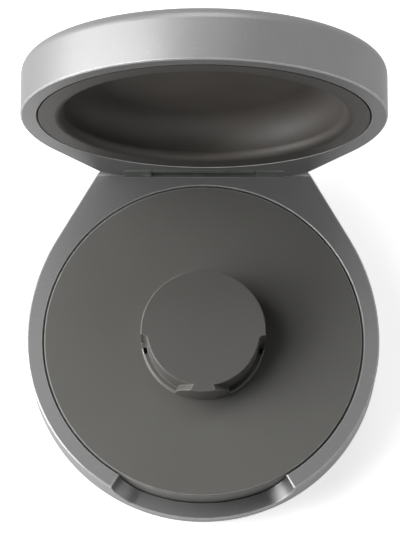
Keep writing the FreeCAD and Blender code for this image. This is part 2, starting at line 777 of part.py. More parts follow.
washers = new_body("hinge_washers")
washers.AllowCompound = True
for hand, side in SIDES.items():
    washer = new_sketch(washers, f"washer_{hand}", "YZ_Plane",
                        lift=f"{side} * (lid_knuckle_half + washer_play)")
    circle(washer, "barrel_radius - washer_inset", "hinge_y", "hinge_z")
    circle(washer, "pin_radius + pin_fit", "hinge_y", "hinge_z")
    pad(washers, washer, "knuckle_gap - 2 * washer_play", reverse=side < 0)
keep(washers, "hinge_washers")

# Lid shell: the base's outline again, hollowed from below and slotted at the back for the hinge.
lid = new_body("lid_shell")
lid_plan = new_sketch(lid, "lid_plan", "XY_Plane")
case_outline(lid_plan)
lid_block = pad(lid, lid_plan, "lid_height")
crown = dress(lid, "Fillet", lid_block,
              edges_where(lid_block.Shape, lambda edge: at_height(edge, "lid_height")), "lid_edge_round")
lid_hollow = new_sketch(lid, "lid_hollow", "XY_Plane")
circle(lid_hollow, "cavity_radius")
hollow = pocket(lid, lid_hollow, "lid_cavity", reverse=True)
dress(lid, "Chamfer", hollow, edges_where(hollow.Shape, lambda edge: at_height(edge, "0")), "edge_break")

hinge_slot = new_sketch(lid, "hinge_slot", "XY_Plane")
rectangle(hinge_slot, "-hinge_half", "hinge_half", "lid_leaf_front - slot_gap", "back_reach + rim_width")
pocket(lid, hinge_slot, "slot_top", reverse=True)

lid_leaf_seat = new_sketch(lid, "lid_leaf_seat", "XY_Plane")
rectangle(lid_leaf_seat, "-(lid_knuckle_half + leaf_fit)", "lid_knuckle_half + leaf_fit",
          "lid_leaf_front - leaf_fit", "back_reach + rim_width")
pocket(lid, lid_leaf_seat, "lid_leaf_shelf + leaf_fit", reverse=True)

lid_leaf_slot = new_sketch(lid, "lid_leaf_slot", "XY_Plane")
rectangle(lid_leaf_slot, "-(lid_knuckle_half + leaf_fit)", "lid_knuckle_half + leaf_fit",
          "lid_leaf_front - leaf_fit", "lid_leaf_back + leaf_fit")
pocket(lid, lid_leaf_slot, "lid_leaf_top + leaf_fit", reverse=True)

screw_holes(lid, "lid_screw_hole", "lid_screw_z")
magnet_pockets(lid, "lid_magnet_pocket", "magnet_inset")
keep(lid, "lid_shell")

# Liner: a thin moulded bowl with a flat sealing ring at the rim and a skirt up the lid's wall.
liner = new_body("lid_liner")
liner_profile = new_sketch(liner, "liner_profile", "XZ_Plane")
trace(liner_profile, [
    ("insert_radius", "0"),
    ("insert_radius", "liner_skirt"),
    ("insert_radius - liner_wall", "liner_skirt"),
    ("insert_radius - liner_wall", "liner_wall"),
    ("liner_bend", "liner_wall", "liner_lip - liner_wall", -1),
    ("liner_throat + liner_wall", "liner_lip"),
    ("liner_throat + liner_wall", "liner_depth - liner_cove", "liner_cove + liner_wall", 1),
    ("liner_flat", "liner_depth + liner_wall"),
    ("0", "liner_depth + liner_wall"),
    ("0", "liner_depth"),
    ("liner_flat", "liner_depth", "liner_cove", -1),
    ("liner_throat", "liner_depth - liner_cove"),
    ("liner_throat", "liner_lip", "liner_lip", 1),
    ("liner_bend", "0"),
])
revolve(liner, liner_profile)
keep(liner, "lid_liner")

bond = new_body("liner_adhesive")
bond_plan = new_sketch(bond, "bond_plan", "XY_Plane", lift="lid_cavity")
circle(bond_plan, "liner_flat - bond_inset")
pad(bond, bond_plan, "bond_thickness", reverse=True)
keep(bond, "liner_adhesive")

lid_magnets = magnet_pair("lid_magnets", "magnet_inset")
keep(lid_magnets, "lid_magnets")

# Lid leaf of the hinge: the middle knuckle, a block in the lid's slot and a tongue in its back wall.
lid_leaf = new_body("hinge_lid_leaf")
lid_section = new_sketch(lid_leaf, "lid_leaf_section", "YZ_Plane")
trace(lid_section, [
    ("lid_leaf_front", "barrel_radius", "barrel_radius", 1),
    ("hinge_y", "0", "barrel_radius", 1),
    ("back_reach", "barrel_radius"),
    ("back_reach", "lid_leaf_shelf"),
    ("lid_leaf_back", "lid_leaf_shelf"),
    ("lid_leaf_back", "lid_leaf_top"),
    ("lid_leaf_front", "lid_leaf_top"),
])
pad(lid_leaf, lid_section, "2 * lid_knuckle_half", midplane=True)
lid_bore = new_sketch(lid_leaf, "lid_pin_bore", "YZ_Plane")
circle(lid_bore, "pin_radius + bore_fit", "hinge_y", "barrel_radius")
pocket(lid_leaf, lid_bore, "2 * hinge_width", midplane=True)
leaf_holes(lid_leaf, "lid_leaf_hole", "lid_screw_z")
keep(lid_leaf, "hinge_lid_leaf")

lid_screws = screw_pair("hinge_lid_screws", "lid_screw_z", "lid_leaf_back")
keep(lid_screws, "hinge_lid_screws")

for lid_piece in (lid, liner, bond, lid_magnets, lid_leaf, lid_screws):
    swing_lid(lid_piece)

doc.recompute()
for thing in doc.Objects:
    if {"Invalid", "Error"} & set(thing.State):
        raise RuntimeError(f"{thing.Name} failed: {thing.State}")
for node in NODES:
    if node.Shape.isNull() or not node.Shape.isValid():
        raise RuntimeError(f"{node.Label} has no valid shape")

os.makedirs("parts", exist_ok=True)
for node in NODES:
    node.Shape.exportStep(f"parts/{node.Label}.step")
    print(f"{node.Label}: {len(node.Shape.Solids)} solids, {node.Shape.Volume / 1000:.2f} cm3")
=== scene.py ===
import math

import bpy
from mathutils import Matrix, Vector


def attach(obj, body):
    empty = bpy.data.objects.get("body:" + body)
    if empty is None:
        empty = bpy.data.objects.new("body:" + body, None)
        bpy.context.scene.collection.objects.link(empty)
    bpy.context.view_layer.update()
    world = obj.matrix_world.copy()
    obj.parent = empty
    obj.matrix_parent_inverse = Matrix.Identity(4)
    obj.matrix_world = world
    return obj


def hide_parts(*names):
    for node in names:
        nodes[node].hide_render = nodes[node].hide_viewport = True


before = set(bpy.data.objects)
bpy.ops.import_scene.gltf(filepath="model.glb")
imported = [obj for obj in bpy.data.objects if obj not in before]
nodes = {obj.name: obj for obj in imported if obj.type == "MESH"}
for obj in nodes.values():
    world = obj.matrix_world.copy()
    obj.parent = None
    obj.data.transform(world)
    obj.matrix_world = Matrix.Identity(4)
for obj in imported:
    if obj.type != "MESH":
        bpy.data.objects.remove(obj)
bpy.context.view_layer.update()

# Base shell: a cup turned and milled from aluminium bar, with a thumb notch in its front rim.
# It is bead blasted to a fine even grain and clear anodised, and its edges are broken by hand;
# the edges are painted light, partly wear where fingers and the lid's rim rub them, partly painted
# highlight.
METAL_DARK = (0.26, 0.26, 0.26)
METAL_LIGHT = (0.288, 0.288, 0.288)
METAL_WORN_AND_HIGHLIGHT = (0.88, 0.88, 0.88)
METAL_TINT = (0.55, 0.55, 0.55, 1.0)
METAL_SHARE = 0.7
METAL_ROUGH_DARK = 0.45
METAL_ROUGH_LIGHT = 0.39
METAL_POLISH = 0.12
METAL_SCUFFS = 0.036
PIT_SHARE = 0.45
NOISE_LOW = 0.3
NOISE_HIGH = 0.7
FLAT_LIKENESS = 0.995
WORN_LIKENESS = 0.9


def feed(tree, socket, given):
    """Link a socket to another node's output, or set it to a plain value."""
    if isinstance(given, bpy.types.NodeSocket):
        tree.links.new(given, socket)
    else:
        socket.default_value = given


def add_node(tree, kind, **inputs):
    """Add a shader node, and link or set its inputs by name."""
    made = tree.nodes.new(kind)
    for name, given in inputs.items():
        feed(tree, made.inputs[name.replace("_", " ")], given)
    return made


def add_math(tree, operation, first, second):
    """Add a sum, product or the like of two values."""
    made = tree.nodes.new("ShaderNodeMath")
    made.operation = operation
    feed(tree, made.inputs[0], first)
    feed(tree, made.inputs[1], second)
    return made.outputs["Value"]


def remap(tree, amount, low, high, to_low=0.0, to_high=1.0):
    """Stretch a value's range, clamped at both ends."""
    made = add_node(tree, "ShaderNodeMapRange", Value=amount, From_Min=low, From_Max=high,
                    To_Min=to_low, To_Max=to_high)
    return made.outputs["Result"]


def object_place(tree):
    """The piece's own coordinates."""
    return tree.nodes.new("ShaderNodeTexCoord").outputs["Object"]


def object_noise(tree, scale, detail, roughness=0.5, stretch=None, turn=(0.0, 0.0, 0.0)):
    """Noise on the piece's own coordinates, stretched along one way where that is given."""
    place = object_place(tree)
    if stretch:
        mapped = add_node(tree, "ShaderNodeMapping", Vector=place, Rotation=turn, Scale=stretch)
        place = mapped.outputs["Vector"]
    made = add_node(tree, "ShaderNodeTexNoise", Vector=place, Scale=scale, Detail=detail,
                    Roughness=roughness)
    return made.outputs["Fac"]


def new_group(name, inputs, outputs):
    """Start a shared effect, with its number inputs and its outputs."""
    group = bpy.data.node_groups.new(name, "ShaderNodeTree")
    for label, number in inputs.items():
        socket = group.interface.new_socket(label, in_out="INPUT", socket_type="NodeSocketFloat")
        socket.default_value = number
    for label in outputs:
        group.interface.new_socket(label, in_out="OUTPUT", socket_type="NodeSocketFloat")
    given = group.nodes.new("NodeGroupInput").outputs
    result = group.nodes.new("NodeGroupOutput").inputs
    return group, given, result


# Fine even pits, as glass beads leave them, over a slow cloudiness of the whole surface.
blasted_grain, given, result = new_group(
    "blasted_grain", {"Pit Scale": 3600.0, "Cloud Scale": 45.0}, ["Height", "Tone"])
pits = object_noise(blasted_grain, given["Pit Scale"], detail=2.0, roughness=0.6)
clouds = object_noise(blasted_grain, given["Cloud Scale"], detail=4.0, roughness=0.55)
feed(blasted_grain, result["Height"], pits)
fine = remap(blasted_grain, pits, NOISE_LOW, NOISE_HIGH, to_high=PIT_SHARE)
slow = remap(blasted_grain, clouds, NOISE_LOW, NOISE_HIGH, to_high=1.0 - PIT_SHARE)
feed(blasted_grain, result["Tone"], add_math(blasted_grain, "ADD", fine, slow))

# Wear and painted highlight along edges: how far a rounded-off normal leaves the true one, broken
# up by noise.
edge_wear_and_highlight, given, result = new_group("edge_wear_and_highlight", {"Width": 0.0003, "Patch Scale": 380.0}, ["Wear"])
rounded = add_node(edge_wear_and_highlight, "ShaderNodeBevel", Radius=given["Width"])
likeness = edge_wear_and_highlight.nodes.new("ShaderNodeVectorMath")
likeness.operation = "DOT_PRODUCT"
feed(edge_wear_and_highlight, likeness.inputs[0], rounded.outputs["Normal"])
feed(edge_wear_and_highlight, likeness.inputs[1], edge_wear_and_highlight.nodes.new("ShaderNodeNewGeometry").outputs["Normal"])
bend = remap(edge_wear_and_highlight, likeness.outputs["Value"], FLAT_LIKENESS, WORN_LIKENESS)
blotches = object_noise(edge_wear_and_highlight, given["Patch Scale"], detail=3.0, roughness=0.6)
patches = remap(edge_wear_and_highlight, blotches, low=0.3, high=0.62, to_low=0.55)
feed(edge_wear_and_highlight, result["Wear"], add_math(edge_wear_and_highlight, "MULTIPLY", bend, patches))

# Hairline scuffs from handling, in two crossing directions.
handling_scuffs, given, result = new_group("handling_scuffs", {"Amount": 0.5}, ["Scuffs"])
long_ways = object_noise(handling_scuffs, 1.0, detail=2.0,
                         stretch=(90.0, 2600.0, 2600.0), turn=(0.3, 0.2, 0.6))
cross_ways = object_noise(handling_scuffs, 1.0, detail=2.0,
                          stretch=(2400.0, 120.0, 2400.0), turn=(0.2, 0.1, -0.4))
long_hairs = remap(handling_scuffs, long_ways, low=0.64, high=0.7)
cross_hairs = remap(handling_scuffs, cross_ways, low=0.66, high=0.72)
either = add_math(handling_scuffs, "MAXIMUM", long_hairs, cross_hairs)
feed(handling_scuffs, result["Scuffs"],
     add_math(handling_scuffs, "MULTIPLY", either, given["Amount"]))


def place_group(tree, group, **values):
    """Put a shared effect into a material with its own values, and give its outputs."""
    made = add_node(tree, "ShaderNodeGroup")
    made.node_tree = group
    for name, number in values.items():
        made.inputs[name.replace("_", " ")].default_value = number
    return made.outputs


def mix_colours(tree, amount, first, second):
    """Blend two colours by a mask."""
    made = tree.nodes.new("ShaderNodeMix")
    made.data_type = "RGBA"
    feed(tree, made.inputs["Factor"], amount)
    colour_inputs = [socket for socket in made.inputs if socket.type == "RGBA"]
    for socket, given in zip(colour_inputs, (first, second)):
        feed(tree, socket, (*given, 1.0) if isinstance(given, tuple) else given)
    return next(socket for socket in made.outputs if socket.type == "RGBA")


def new_material(name):
    """A material, its nodes, and the inputs of its Principled shader."""
    material = bpy.data.materials.new(name)
    material.use_nodes = True
    return material, material.node_tree, material.node_tree.nodes["Principled BSDF"].inputs


def set_bump(tree, surface, height, distance, strength):
    """Raise a height field into the surface's normal."""
    bump = add_node(tree, "ShaderNodeBump", Height=height, Distance=distance, Strength=strength)
    feed(tree, surface["Normal"], bump.outputs["Normal"])


def set_roughness(tree, surface, dull, rubbed_and_highlight, polish):
    """Make the surface smoother where it is rubbed."""
    smoother = add_math(tree, "MULTIPLY", rubbed_and_highlight, polish)
    feed(tree, surface["Roughness"], add_math(tree, "SUBTRACT", dull, smoother))


def dress(material, *names):
    """Give CAD pieces their finish in place of the plain one."""
    for name in names:
        slots = nodes[name].data.materials
        slots.clear()
        slots.append(material)


case_metal, tree, surface = new_material("blasted_aluminium")
grain = place_group(tree, blasted_grain)
edge_wear_and_sheen = place_group(tree, edge_wear_and_highlight, Width=0.0003)["Wear"]
scuffs = place_group(tree, handling_scuffs, Amount=METAL_SCUFFS)["Scuffs"]
rubbed_and_highlight = add_math(tree, "MAXIMUM", edge_wear_and_sheen, scuffs)
satin = mix_colours(tree, grain["Tone"], METAL_DARK, METAL_LIGHT)
# Edges are painted near white: partly wear, partly painted highlight along the broken edges.
feed(tree, surface["Base Color"], mix_colours(tree, rubbed_and_highlight, satin, METAL_WORN_AND_HIGHLIGHT))
surface["Metallic"].default_value = METAL_SHARE
surface["Specular Tint"].default_value = METAL_TINT
dull = remap(tree, grain["Tone"], 0.0, 1.0, METAL_ROUGH_DARK, METAL_ROUGH_LIGHT)
set_roughness(tree, surface, dull, rubbed_and_highlight, METAL_POLISH)
set_bump(tree, surface, grain["Height"], distance=0.00002, strength=0.35)
dress(case_metal, "base_shell")

# Foot pad: a silicone disc glued into the base's recess, standing slightly proud of it.
# Its edge is rounded, and shallow ring grooves let it grip a wet table.
PAD_RADIUS = 0.036
PAD_THICKNESS = 0.0012
PAD_EDGE = 0.0004
PAD_EDGE_TURN = 0.3
PAD_SEGMENTS = 160
PAD_WELD = 0.000002
PAD_SHARP_ANGLE = math.radians(35)
RING_COUNT = 5
RING_LAND = 0.0046
GROOVE_WIDTH = 0.0009
GROOVE_SIDE = 0.0002
GROOVE_DEPTH = 0.00035
SILICONE_DEEP = (0.022, 0.022, 0.022)
SILICONE_BLOOMED = (0.034, 0.034, 0.033)
DUST_GAIN = 2.2
DUST_LIFT = 0.02
BLOOM_ROUGHER = 0.08
BLOOM_SCALE = 70.0
SPECK_SCALE = 1500.0


def start_piece(name):
    """Name the primitive just added, and select its whole mesh for editing."""
    piece = bpy.context.active_object
    piece.name = name
    bpy.ops.object.mode_set(mode="EDIT")
    bpy.ops.mesh.select_all(action="SELECT")
    return piece


def finish_piece(weld):
    """Weld seams, turn faces outward, leave the mesh and put its place into it."""
    bpy.ops.mesh.select_all(action="SELECT")
    bpy.ops.mesh.remove_doubles(threshold=weld)
    bpy.ops.mesh.normals_make_consistent(inside=False)
    bpy.ops.object.mode_set(mode="OBJECT")
    bpy.ops.object.transform_apply(location=True, rotation=True, scale=True)


bpy.ops.object.select_all(action="DESELECT")
bpy.ops.mesh.primitive_circle_add(vertices=PAD_SEGMENTS, radius=PAD_RADIUS, fill_type="NGON",
                                  location=(0.0, 0.0, PAD_THICKNESS))
foot = start_piece("foot_pad_silicone")
# Each step says how far the face goes inward and up: the wall, the round's two flats, the grooves.
edge_steps = [
    (0.0, PAD_EDGE - PAD_THICKNESS),
    (PAD_EDGE * PAD_EDGE_TURN, PAD_EDGE * (PAD_EDGE_TURN - 1.0)),
    (PAD_EDGE * (1.0 - PAD_EDGE_TURN), -PAD_EDGE * PAD_EDGE_TURN),
]
groove_steps = [
    (RING_LAND, 0.0),
    (GROOVE_SIDE, GROOVE_DEPTH),
    (GROOVE_WIDTH, 0.0),
    (GROOVE_SIDE, -GROOVE_DEPTH),
]
radius = PAD_RADIUS
for inward, lift in edge_steps + groove_steps * RING_COUNT:
    bpy.ops.mesh.extrude_region_move(TRANSFORM_OT_translate={"value": (0.0, 0.0, lift)})
    share = (radius - inward) / radius
    bpy.ops.transform.resize(value=(share, share, 1.0))
    radius -= inward
finish_piece(PAD_WELD)
bpy.ops.object.shade_smooth_by_angle(angle=PAD_SHARP_ANGLE)

# Soft moulded rubber and silicone: a faint bloom on the skin and specks of dust that cling to it.
rubber_skin, given, result = new_group(
    "rubber_skin", {"Skin Scale": 2400.0}, ["Height", "Bloom", "Specks"])
skin = object_noise(rubber_skin, given["Skin Scale"], detail=3.0, roughness=0.55)
bloom = object_noise(rubber_skin, BLOOM_SCALE, detail=4.0, roughness=0.6)
specks = object_noise(rubber_skin, SPECK_SCALE, detail=1.0, roughness=0.4)
feed(rubber_skin, result["Height"], skin)
feed(rubber_skin, result["Bloom"], remap(rubber_skin, bloom, low=0.35, high=0.7))
feed(rubber_skin, result["Specks"], remap(rubber_skin, specks, low=0.74, high=0.8))


def new_rubber(name, deep, bloomed, rough, speck=0.3, gloss=0.4):
    """A rubber finish between a deep colour and its bloomed one."""
    material, tree, surface = new_material(name)
    skin = place_group(tree, rubber_skin)
    soft = mix_colours(tree, skin["Bloom"], deep, bloomed)
    dusty = tuple(min(1.0, part * DUST_GAIN + DUST_LIFT) for part in bloomed)
    dust = add_math(tree, "MULTIPLY", skin["Specks"], speck)
    feed(tree, surface["Base Color"], mix_colours(tree, dust, soft, dusty))
    feed(tree, surface["Roughness"],
         remap(tree, skin["Bloom"], 0.0, 1.0, rough, rough + BLOOM_ROUGHER))
    surface["Specular IOR Level"].default_value = gloss
    set_bump(tree, surface, skin["Height"], distance=0.00003, strength=0.3)
    return material


foot.data.materials.append(
    new_rubber("foot_silicone", SILICONE_DEEP, SILICONE_BLOOMED, rough=0.62))
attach(foot, "base")
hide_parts("foot_pad")

# Water tray: an injection-moulded cup that drops into the base and shows through the thumb notch.
# Its outside has a fine spark-eroded texture, with ribs and a socket for the hub's spigot inside.
TRAY_DARK = (0.15, 0.147, 0.139)
TRAY_LIGHT = (0.17, 0.167, 0.158)
TRAY_WORN = (0.3, 0.297, 0.29)
PLASTIC_WEAR_AND_HIGHLIGHT = 0.9
PLASTIC_POLISH = 0.1
TEXTURE_ROUGHER = 0.04

# Spark-eroded mould texture, with slow changes of tone from flow in the mould.
moulded_skin, given, result = new_group(
    "moulded_skin", {"Texture Scale": 2800.0, "Flow Scale": 28.0}, ["Height", "Flow"])
texture = object_noise(moulded_skin, given["Texture Scale"], detail=2.0, roughness=0.65)
flow = object_noise(moulded_skin, given["Flow Scale"], detail=3.0)
feed(moulded_skin, result["Height"], texture)
feed(moulded_skin, result["Flow"], remap(moulded_skin, flow, NOISE_LOW, NOISE_HIGH))


def new_plastic(name, dark, light, worn, rough, scuff=0.008):
    """A moulded plastic finish with edges painted lighter, partly wear and partly painted
    highlight, and light scuffs.
    """
    material, tree, surface = new_material(name)
    skin = place_group(tree, moulded_skin)
    edge_wear_and_sheen = place_group(tree, edge_wear_and_highlight, Width=0.0003)["Wear"]
    scuffs = place_group(tree, handling_scuffs, Amount=scuff)["Scuffs"]
    body = mix_colours(tree, skin["Flow"], dark, light)
    rubbed_and_highlight = add_math(tree, "MAXIMUM", add_math(tree, "MULTIPLY", edge_wear_and_sheen, PLASTIC_WEAR_AND_HIGHLIGHT), scuffs)
    feed(tree, surface["Base Color"], mix_colours(tree, rubbed_and_highlight, body, worn))
    dull = remap(tree, skin["Height"], NOISE_LOW, NOISE_HIGH,
                 rough - TEXTURE_ROUGHER, rough + TEXTURE_ROUGHER)
    set_roughness(tree, surface, dull, rubbed_and_highlight, PLASTIC_POLISH)
    set_bump(tree, surface, skin["Height"], distance=0.00002, strength=0.3)
    return material


tray_plastic = new_plastic("tray_moulding", TRAY_DARK, TRAY_LIGHT, TRAY_WORN, rough=0.5)
dress(tray_plastic, "water_tray")

# Foam: a die-cut ring of open-cell hydrophilic sponge that stands on the tray's ribs.
# Its cut edges are soft and its faces uneven, because each cell swells by itself when wet.
FOAM_BORE = 0.0138
FOAM_OUTSIDE = 0.0420
FOAM_BOTTOM = 0.0063
FOAM_TOP = 0.0143
FOAM_EDGE = 0.0014
FOAM_EDGE_SEGMENTS = 4
FOAM_CUTS = 5
FOAM_SPIN_STEPS = 120
FOAM_WELD = 0.00001
SWELL_HEIGHT = 0.0005
SWELL_SIZE = 0.006
SWELL_DEPTH = 3
CELL_SCALE = 1500.0
DAMP_SCALE = 90.0
FOAM_DRY = (0.15, 0.15, 0.145)
FOAM_DAMP = (0.12, 0.12, 0.115)
FOAM_PORE_SHADE = (0.03, 0.03, 0.028)
FOAM_ROUGH_DRY = 0.9
FOAM_ROUGH_DAMP = 0.6

bpy.ops.object.select_all(action="DESELECT")
bpy.ops.mesh.primitive_plane_add(
    size=1.0, location=((FOAM_BORE + FOAM_OUTSIDE) / 2, 0.0, (FOAM_BOTTOM + FOAM_TOP) / 2),
    rotation=(math.radians(90), 0.0, 0.0))
bpy.context.active_object.scale = (FOAM_OUTSIDE - FOAM_BORE, FOAM_TOP - FOAM_BOTTOM, 1.0)
bpy.ops.object.transform_apply(location=True, rotation=True, scale=True)
foam = start_piece("foam_ring")
bpy.ops.mesh.bevel(offset=FOAM_EDGE, segments=FOAM_EDGE_SEGMENTS, affect="VERTICES")
bpy.ops.mesh.delete(type="ONLY_FACE")
bpy.ops.mesh.select_all(action="SELECT")
bpy.ops.mesh.subdivide(number_cuts=FOAM_CUTS)
bpy.ops.mesh.select_all(action="SELECT")
bpy.ops.mesh.spin(steps=FOAM_SPIN_STEPS, angle=math.tau, center=(0.0, 0.0, 0.0),
                  axis=(0.0, 0.0, 1.0))
finish_piece(FOAM_WELD)
swell = bpy.data.textures.new("foam_swell", "CLOUDS")
swell.noise_scale = SWELL_SIZE
swell.noise_depth = SWELL_DEPTH
uneven = foam.modifiers.new("uneven", "DISPLACE")
uneven.texture = swell
uneven.texture_coords = "LOCAL"
uneven.strength = SWELL_HEIGHT
uneven.mid_level = 0.5
bpy.ops.object.modifier_apply(modifier="uneven")
bpy.ops.object.shade_smooth()

foam_look, tree, surface = new_material("open_cell_foam")
cells = add_node(tree, "ShaderNodeTexVoronoi", Vector=object_place(tree), Scale=CELL_SCALE)
# The cells' openings are painted dark: painted shade inside the pores.
pore_shade = remap(tree, cells.outputs["Distance"], low=0.1, high=0.55)
damp = remap(tree, object_noise(tree, DAMP_SCALE, detail=3.0), low=0.35, high=0.7)
skeleton = mix_colours(tree, damp, FOAM_DRY, FOAM_DAMP)
feed(tree, surface["Base Color"], mix_colours(tree, pore_shade, FOAM_PORE_SHADE, skeleton))
feed(tree, surface["Roughness"], remap(tree, damp, 0.0, 1.0, FOAM_ROUGH_DRY, FOAM_ROUGH_DAMP))
set_bump(tree, surface, cells.outputs["Distance"], distance=0.0003, strength=0.8)
foam.data.materials.append(foam_look)
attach(foam, "base")
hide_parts("hydration_sponge")

# Gasket: a die-cut rubber ring laid in the groove of the tray's rim, under the plate's edge.
# It is plain black and matte, and only its thin edge can be seen when the plate is off.
SEAL_DEEP = (0.016, 0.016, 0.016)
SEAL_BLOOMED = (0.026, 0.026, 0.025)

seal_rubber = new_rubber("seal_rubber", SEAL_DEEP, SEAL_BLOOMED, rough=0.6)
dress(seal_rubber, "plate_gasket")

# Mixing plate: a thin disc of warm grey permeable plastic that lies flush with the rim.
# Its face is ground to a soft satin, and mixing and wiping leave faint marks round the hub.
PLATE_DARK = (0.124, 0.122, 0.114)
PLATE_LIGHT = (0.14, 0.138, 0.129)
PLATE_WORN_AND_HIGHLIGHT = (0.6, 0.595, 0.58)
PLATE_SCUFFS = 0.007
PLATE_GLOSS = 0.4
PLATE_ROUGH_WIPED = 0.5
PLATE_ROUGH_BARE = 0.56
WIPING_SCALE = 1600.0


def axis_distance(tree, flatten, shift=(0.0, 0.0, 0.0)):
    """How far each point is from an axis, which lies along the way that flatten takes out."""
    flat = add_node(tree, "ShaderNodeMapping", Vector=object_place(tree), Location=shift,
                    Scale=flatten)
    length = tree.nodes.new("ShaderNodeVectorMath")
    length.operation = "LENGTH"
    feed(tree, length.inputs[0], flat.outputs["Vector"])
    return length.outputs["Value"]


plate_look, tree, surface = new_material("plate_satin")
skin = place_group(tree, moulded_skin, Texture_Scale=3200.0, Flow_Scale=22.0)
edge_wear_and_sheen = place_group(tree, edge_wear_and_highlight, Width=0.0003)["Wear"]
scuffs = place_group(tree, handling_scuffs, Amount=PLATE_SCUFFS)["Scuffs"]
body = mix_colours(tree, skin["Flow"], PLATE_DARK, PLATE_LIGHT)
rubbed_and_highlight = add_math(tree, "MAXIMUM", edge_wear_and_sheen, scuffs)
# Edges are painted light: partly wear, partly painted highlight along the plate's rim.
feed(tree, surface["Base Color"], mix_colours(tree, rubbed_and_highlight, body, PLATE_WORN_AND_HIGHLIGHT))
rings = add_node(tree, "ShaderNodeCombineXYZ", X=axis_distance(tree, flatten=(1.0, 1.0, 0.0)))
wiped = add_node(tree, "ShaderNodeTexNoise", Vector=rings.outputs["Vector"], Scale=WIPING_SCALE,
                 Detail=2.0)
feed(tree, surface["Roughness"],
     remap(tree, wiped.outputs["Fac"], low=0.35, high=0.65,
           to_low=PLATE_ROUGH_WIPED, to_high=PLATE_ROUGH_BARE))
surface["Specular IOR Level"].default_value = PLATE_GLOSS
set_bump(tree, surface, skin["Height"], distance=0.00002, strength=0.3)
dress(plate_look, "palette_plate")

# Hub: a hollow moulded knob on the plate, cut back on both front sides so two fingers can turn it.
# It is moulded in the plate's plastic; the crown and the grips' edges are polished by handling and
# painted light, partly wear and partly painted highlight.
HUB_DARK = (0.108, 0.105, 0.098)
HUB_LIGHT = (0.120, 0.117, 0.109)

hub_plastic = new_plastic("hub_moulding", HUB_DARK, HUB_LIGHT, PLATE_WORN_AND_HIGHLIGHT, rough=0.46)
dress(hub_plastic, "hub")

# O-ring and ring nut: the rubber ring seals the hub's spigot against the plate,
# and the slotted nut, moulded like the tray, clamps both from below.
dress(seal_rubber, "hub_o_ring")
dress(tray_plastic, "hub_nut")

# Closing magnets: small nickel-plated rods pressed into the rims from the inside.
# The plating is bright, with faint turning lines and a few dull spots.
NICKEL_DARK = (0.55, 0.54, 0.51)
NICKEL_LIGHT = (0.66, 0.65, 0.61)
ALL_WAYS = (2200.0, 2200.0, 2200.0)
STEEL_WORN_GAIN = 1.5
STEEL_WEAR = 0.6
SPOT_SCALE = 420.0
SPOT_SMOOTHER = 0.05
SPOT_ROUGHER = 0.08


def new_steel(name, dark, light, rough, stretch):
    """A drawn, turned or plated steel finish with fine lines along one way."""
    material, tree, surface = new_material(name)
    lines = object_noise(tree, 1.0, detail=3.0, roughness=0.6, stretch=stretch)
    spots = object_noise(tree, SPOT_SCALE, detail=3.0, roughness=0.6)
    edge_wear_and_sheen = place_group(tree, edge_wear_and_highlight, Width=0.0002)["Wear"]
    drawn = mix_colours(tree, remap(tree, lines, NOISE_LOW, NOISE_HIGH), dark, light)
    worn = tuple(min(1.0, part * STEEL_WORN_GAIN) for part in light)
    rubbed_and_highlight = add_math(tree, "MULTIPLY", edge_wear_and_sheen, STEEL_WEAR)
    feed(tree, surface["Base Color"], mix_colours(tree, rubbed_and_highlight, drawn, worn))
    surface["Metallic"].default_value = 1.0
    feed(tree, surface["Roughness"],
         remap(tree, spots, low=0.35, high=0.7,
               to_low=rough - SPOT_SMOOTHER, to_high=rough + SPOT_ROUGHER))
    set_bump(tree, surface, lines, distance=0.000008, strength=0.3)
    return material


nickel = new_steel("nickel_plate", NICKEL_DARK, NICKEL_LIGHT, rough=0.26, stretch=ALL_WAYS)
dress(nickel, "base_magnets", "lid_magnets")

# Hinge: two steel leaves let into the shells' flat backs, with three knuckles round one drawn pin.
# The leaves are milled along the hinge line and toned grey; acetal washers part the knuckles.
LEAF_DARK = (0.235, 0.25, 0.238)
LEAF_LIGHT = (0.29, 0.305, 0.29)
PIN_DARK = (0.5, 0.5, 0.48)
PIN_LIGHT = (0.6, 0.6, 0.58)
SCREW_DARK = (0.5, 0.5, 0.49)
SCREW_LIGHT = (0.62, 0.62, 0.6)
ACETAL_DARK = (0.02, 0.02, 0.02)
ACETAL_LIGHT = (0.028, 0.028, 0.028)
ACETAL_WORN = (0.05, 0.05, 0.05)
ALONG_HINGE = (60.0, 4200.0, 4200.0)

leaf_steel = new_steel("leaf_steel", LEAF_DARK, LEAF_LIGHT, rough=0.4, stretch=ALONG_HINGE)
dress(leaf_steel, "hinge_base_leaf", "hinge_lid_leaf")
pin_steel = new_steel("pin_steel", PIN_DARK, PIN_LIGHT, rough=0.22, stretch=ALONG_HINGE)
dress(pin_steel, "hinge_pin")
screw_steel = new_steel("screw_steel", SCREW_DARK, SCREW_LIGHT, rough=0.3, stretch=ALL_WAYS)
dress(screw_steel, "hinge_base_screws", "hinge_lid_screws")
acetal = new_plastic("washer_acetal", ACETAL_DARK, ACETAL_LIGHT, ACETAL_WORN, rough=0.4, scuff=0.05)
dress(acetal, "hinge_washers")

# Lid shell: milled and blasted like the base, with a fuller round along its crown.
# It takes the same finish, so shut it reads as one case.
dress(case_metal, "lid_shell")

# Liner: a thin bowl moulded in soft dark rubber, bonded into the lid by a film of adhesive.
# A flat ring seals on the plate's edge, and a coved wall lets a finger wipe the bowl clean.
# The ring is painted darker than the bowl: painted shade.
LINER_DEEP = (0.063, 0.056, 0.05)
LINER_BLOOMED = (0.077, 0.069, 0.062)
LID_MIDDLE_HEIGHT = 0.0686
BOWL_EDGE = 0.0385
RING_EDGE = 0.0405
RING_PAINTED_SHADE = 0.35
BOND_DEEP = (0.5, 0.5, 0.48)
BOND_BLOOMED = (0.6, 0.6, 0.57)
BLACK = (0.0, 0.0, 0.0)

